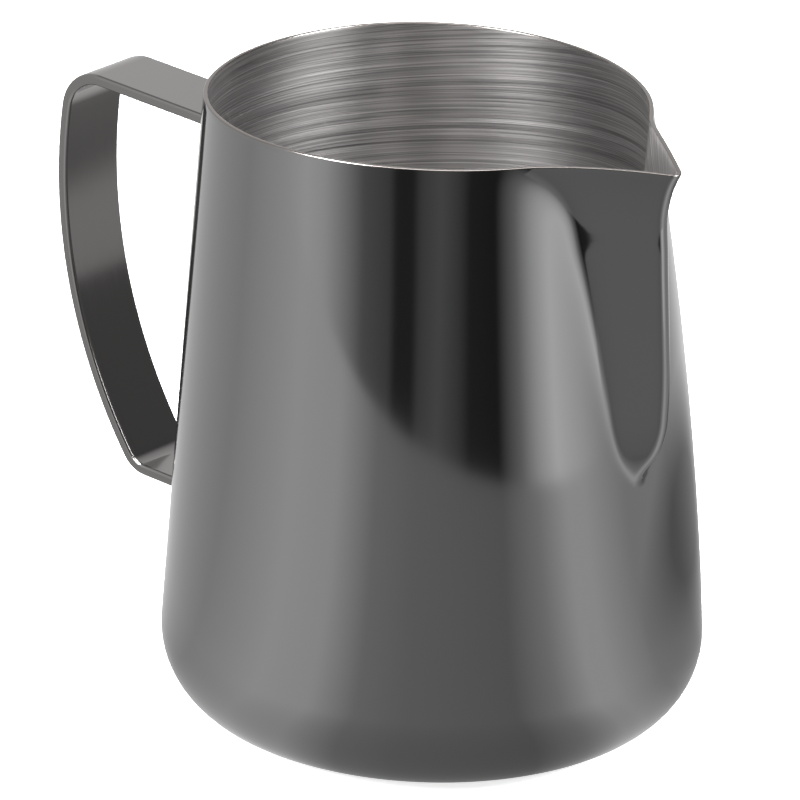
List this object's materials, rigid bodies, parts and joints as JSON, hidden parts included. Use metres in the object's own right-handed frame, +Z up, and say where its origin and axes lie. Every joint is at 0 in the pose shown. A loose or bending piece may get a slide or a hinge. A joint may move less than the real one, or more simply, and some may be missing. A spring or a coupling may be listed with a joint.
{
  "type": "milk frothing pitcher",
  "caption": "Tapered metal milk frothing pitcher with a pressed V spout, rounded foot and a bent flat strap handle opposite the spout.",
  "frame": {"origin": "centre of the base, on the plane the pitcher stands on", "axes": "+Z up through the cup, +X towards the spout tip, -X towards the handle"},
  "size_m": [0.1301, 0.093, 0.11],
  "materials": {
    "body": "dark gunmetal plating polished to a mirror outside, bare brushed steel inside",
    "handle": "dark gunmetal plating, satin polish",
    "weld": "dark gunmetal plating over a smoothed weld"
  },
  "bodies": {
    "root": {"body": "body", "handle": "handle", "upper_weld": "weld", "lower_weld": "weld"}
  },
  "joints": []
}
